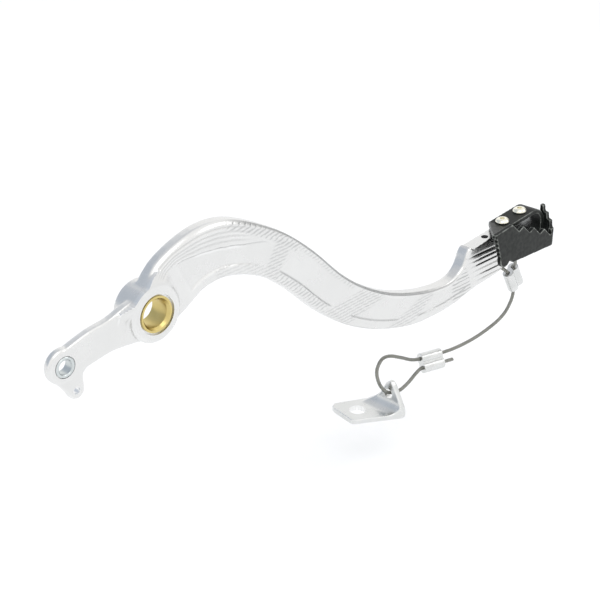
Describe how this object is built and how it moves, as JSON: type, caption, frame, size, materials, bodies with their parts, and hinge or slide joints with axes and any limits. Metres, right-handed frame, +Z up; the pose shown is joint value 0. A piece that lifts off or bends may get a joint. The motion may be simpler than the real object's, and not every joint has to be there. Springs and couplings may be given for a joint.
{
  "type": "motorcycle rear brake pedal",
  "caption": "Rear brake pedal with an S-shaped forged arm, bushed pivot, clevis eye, toothed folded toe step and a safety cable ending in a small frame bracket.",
  "frame": {"origin": "on the axis of the pivot bore, in the middle plane of the main arm", "axes": "+Y along the pivot bore towards the motorcycle, +X forwards to the toe step, +Z up, so the side that shows on the motorcycle faces -Y"},
  "size_m": [0.3306, 0.0475, 0.1512],
  "materials": {
    "forged_aluminium": "tumbled and polished forging, with ribbed and hatched bands",
    "bush_bronze": "turned, bright",
    "zinc_steel": "turned and zinc plated",
    "black_steel": "satin black coating on cut and folded sheet",
    "nickel_steel": "nickel plated, slightly yellow",
    "wire_rope": "twisted strands, grey",
    "ferrule_aluminium": "plain drawn and crimped",
    "bracket_aluminium": "bright bent sheet"
  },
  "bodies": {
    "pedal": {"pedal_arm": "forged_aluminium", "pivot_bush": "bush_bronze", "clevis_sleeve": "zinc_steel", "toe_step": "black_steel", "toe_screw_rear": "nickel_steel", "toe_screw_front": "nickel_steel"},
    "cable": {"safety_cable": "wire_rope", "ferrule_upper": "ferrule_aluminium", "ferrule_lower": "ferrule_aluminium"},
    "bracket": {"frame_bracket": "bracket_aluminium"}
  },
  "joints": [
    {"name": "cable_swing", "type": "hinge", "parent": "pedal", "child": "cable", "pos_m": [0.2495, 0, -0.0505], "axis": [0, 1, 0], "range_deg": [0, 15]},
    {"name": "bracket_swing", "type": "hinge", "parent": "cable", "child": "bracket", "pos_m": [0.1665, 0.0097, -0.1105], "axis": [1, 0, 0], "range_deg": [-75, 75]}
  ]
}
